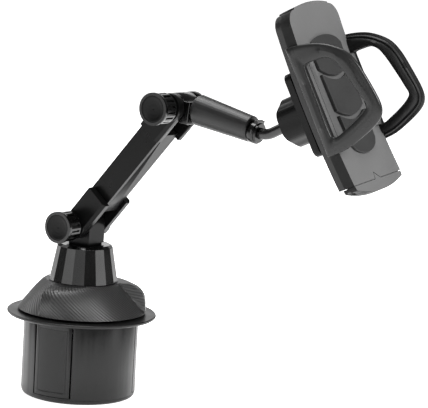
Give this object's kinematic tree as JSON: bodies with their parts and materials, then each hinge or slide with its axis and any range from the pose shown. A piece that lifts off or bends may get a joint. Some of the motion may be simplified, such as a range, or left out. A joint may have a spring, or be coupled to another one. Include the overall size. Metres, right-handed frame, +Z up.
{
  "type": "car phone mount",
  "caption": "Cup-holder phone mount: expanding cup base, two-link clamp arm, ball joint and a cradle with two looped spring side arms.",
  "frame": {"origin": "centre of the cup base's underside", "axes": "+X from the base towards the cradle in the arm's plane, +Z up; the clamp knobs are on the -Y side"},
  "size_m": [0.2426, 0.0858, 0.238],
  "materials": {
    "cup_plastic": "satin moulded",
    "jaw_rubber": "fine grain",
    "hatched_plastic": "satin with diagonal hatch",
    "gloss_black": "polished",
    "arm_plastic": "semi gloss",
    "satin_plastic": "satin",
    "soft_grey": "soft-touch matte",
    "pad_rubber": "matte",
    "black_rubber": "matte",
    "coated_rod": "black coated",
    "bearing_plastic": "natural",
    "steel": "plated",
    "brass": "turned"
  },
  "bodies": {
    "base": {"base_cap": "cup_plastic", "base_cup": "cup_plastic", "flange_plate": "cup_plastic", "centre_post": "satin_plastic", "base_screws": "steel", "neck_retainer": "steel"},
    "dial": {"dial_hub": "satin_plastic", "grip_dial": "hatched_plastic", "cam_plate": "steel"},
    "jaw_1": {"jaw_1": "cup_plastic", "jaw_pad_1": "jaw_rubber"},
    "jaw_2": {"jaw_2": "cup_plastic", "jaw_pad_2": "jaw_rubber"},
    "jaw_3": {"jaw_3": "cup_plastic", "jaw_pad_3": "jaw_rubber"},
    "neck": {"neck_collar": "gloss_black", "pivot_lug": "gloss_black", "lug_screws": "steel"},
    "lower_arm": {"arm_web": "arm_plastic", "side_plate_near": "arm_plastic", "side_plate_far": "arm_plastic", "arm_screws": "steel", "shoulder_bolt": "steel", "elbow_bolt": "steel", "fork_washers": "steel"},
    "knob_1": {"knob_1": "gloss_black", "knob_1_cap": "gloss_black", "knob_1_insert": "brass"},
    "knob_2": {"knob_2": "gloss_black", "knob_2_cap": "gloss_black", "knob_2_insert": "brass"},
    "upper_arm": {"upper_tongue": "arm_plastic", "handle_sleeve": "satin_plastic"},
    "collar": {"lock_collar": "gloss_black"},
    "rod": {"ball_rod": "coated_rod"},
    "liner": {"ball_liner": "bearing_plastic"},
    "socket": {"ball_socket": "satin_plastic", "back_plate": "gloss_black", "plate_screws": "steel", "spin_retainer": "steel"},
    "nut": {"ball_nut": "gloss_black"},
    "cradle": {"rear_shell": "satin_plastic", "front_shell": "soft_grey", "pad_top": "pad_rubber", "pad_middle": "pad_rubber", "pad_bottom": "pad_rubber", "shell_screws": "steel", "pinion_pin": "steel", "spiral_spring": "steel"},
    "pinion": {"pinion": "bearing_plastic"},
    "arm_left": {"side_arm_left": "satin_plastic", "arm_liner_left": "black_rubber"},
    "arm_right": {"side_arm_right": "satin_plastic", "arm_liner_right": "black_rubber"},
    "button": {"release_button": "satin_plastic"},
    "foot": {"foot_support": "soft_grey"}
  },
  "joints": [
    {"name": "dial_turn", "type": "hinge", "parent": "base", "child": "dial", "pos_m": [0, 0, 0.0495], "axis": [0, 0, 1], "range_deg": [0, 90]},
    {"name": "jaw_1_out", "type": "slide", "parent": "base", "child": "jaw_1", "axis": [0.1564, -0.9877, 0], "range_m": [0, 0.006]},
    {"name": "jaw_2_out", "type": "slide", "parent": "base", "child": "jaw_2", "axis": [0.7771, 0.6293, 0], "range_m": [0, 0.006]},
    {"name": "jaw_3_out", "type": "slide", "parent": "base", "child": "jaw_3", "axis": [-0.9336, 0.3584, 0], "range_m": [0, 0.006]},
    {"name": "neck_swivel", "type": "hinge", "parent": "base", "child": "neck", "pos_m": [0, 0, 0.0664], "axis": [0, 0, 1], "range_deg": [-170, 170]},
    {"name": "shoulder_tilt", "type": "hinge", "parent": "neck", "child": "lower_arm", "pos_m": [0, 0, 0.0993], "axis": [0, -1, 0], "range_deg": [-40, 80]},
    {"name": "elbow_tilt", "type": "hinge", "parent": "lower_arm", "child": "upper_arm", "pos_m": [0.06145, 0, 0.17305], "axis": [0, -1, 0], "range_deg": [-45, 50]},
    {"name": "knob_1_turn", "type": "hinge", "parent": "lower_arm", "child": "knob_1", "pos_m": [0, 0, 0.0993], "axis": [0, -1, 0], "range_deg": [0, 360]},
    {"name": "knob_2_turn", "type": "hinge", "parent": "lower_arm", "child": "knob_2", "pos_m": [0.06145, 0, 0.17305], "axis": [0, -1, 0], "range_deg": [0, 360]},
    {"name": "collar_turn", "type": "hinge", "parent": "upper_arm", "child": "collar", "pos_m": [0.10883, 0, 0.16495], "axis": [0.9934, 0, -0.1149], "range_deg": [0, 90]},
    {"name": "rod_extend", "type": "slide", "parent": "upper_arm", "child": "rod", "axis": [0.9934, 0, -0.1149], "range_m": [0, 0.025]},
    {"name": "ball_tilt", "type": "hinge", "parent": "rod", "child": "liner", "pos_m": [0.14094, 0, 0.17524], "axis": [-0.0413, 0.9957, 0.0826], "range_deg": [-18, 18]},
    {"name": "ball_pan", "type": "hinge", "parent": "liner", "child": "socket", "pos_m": [0.14094, 0, 0.17524], "axis": [-0.4452, -0.0924, 0.8906], "range_deg": [-18, 18]},
    {"name": "nut_turn", "type": "hinge", "parent": "socket", "child": "nut", "pos_m": [0.14094, 0, 0.17524], "axis": [0.8945, 0, 0.4471], "range_deg": [0, 90]},
    {"name": "cradle_spin", "type": "hinge", "parent": "socket", "child": "cradle", "pos_m": [0.14094, 0, 0.17524], "axis": [0.8945, 0, 0.4471], "range_deg": [-90, 90]},
    {"name": "side_arm_left_out", "type": "slide", "parent": "cradle", "child": "arm_left", "axis": [0.0413, -0.9957, -0.0826], "range_m": [0, 0.018]},
    {"name": "side_arm_right_out", "type": "slide", "parent": "cradle", "child": "arm_right", "axis": [-0.0413, 0.9957, 0.0826], "range_m": [0, 0.018]},
    {"name": "pinion_turn", "type": "hinge", "parent": "cradle", "child": "pinion", "pos_m": [0.14094, 0, 0.17524], "axis": [0.8945, 0, 0.4471], "range_deg": [0, 172]},
    {"name": "release_press", "type": "slide", "parent": "cradle", "child": "button", "axis": [0.8945, 0, 0.4471], "range_m": [0, 0.002], "stiffness_N_per_m": 600, "springref_m": -0.0005},
    {"name": "foot_out", "type": "slide", "parent": "cradle", "child": "foot", "axis": [0.4452, 0.0924, -0.8906], "range_m": [0, 0.01]}
  ],
  "couplings": [
    {"joint": "jaw_1_out", "follows": "dial_turn", "m_per_rad": 0.0038197},
    {"joint": "jaw_2_out", "follows": "dial_turn", "m_per_rad": 0.0038197},
    {"joint": "jaw_3_out", "follows": "dial_turn", "m_per_rad": 0.0038197},
    {"joint": "side_arm_right_out", "follows": "side_arm_left_out", "ratio": 1},
    {"joint": "pinion_turn", "follows": "side_arm_left_out", "rad_per_m": 166.67}
  ]
}
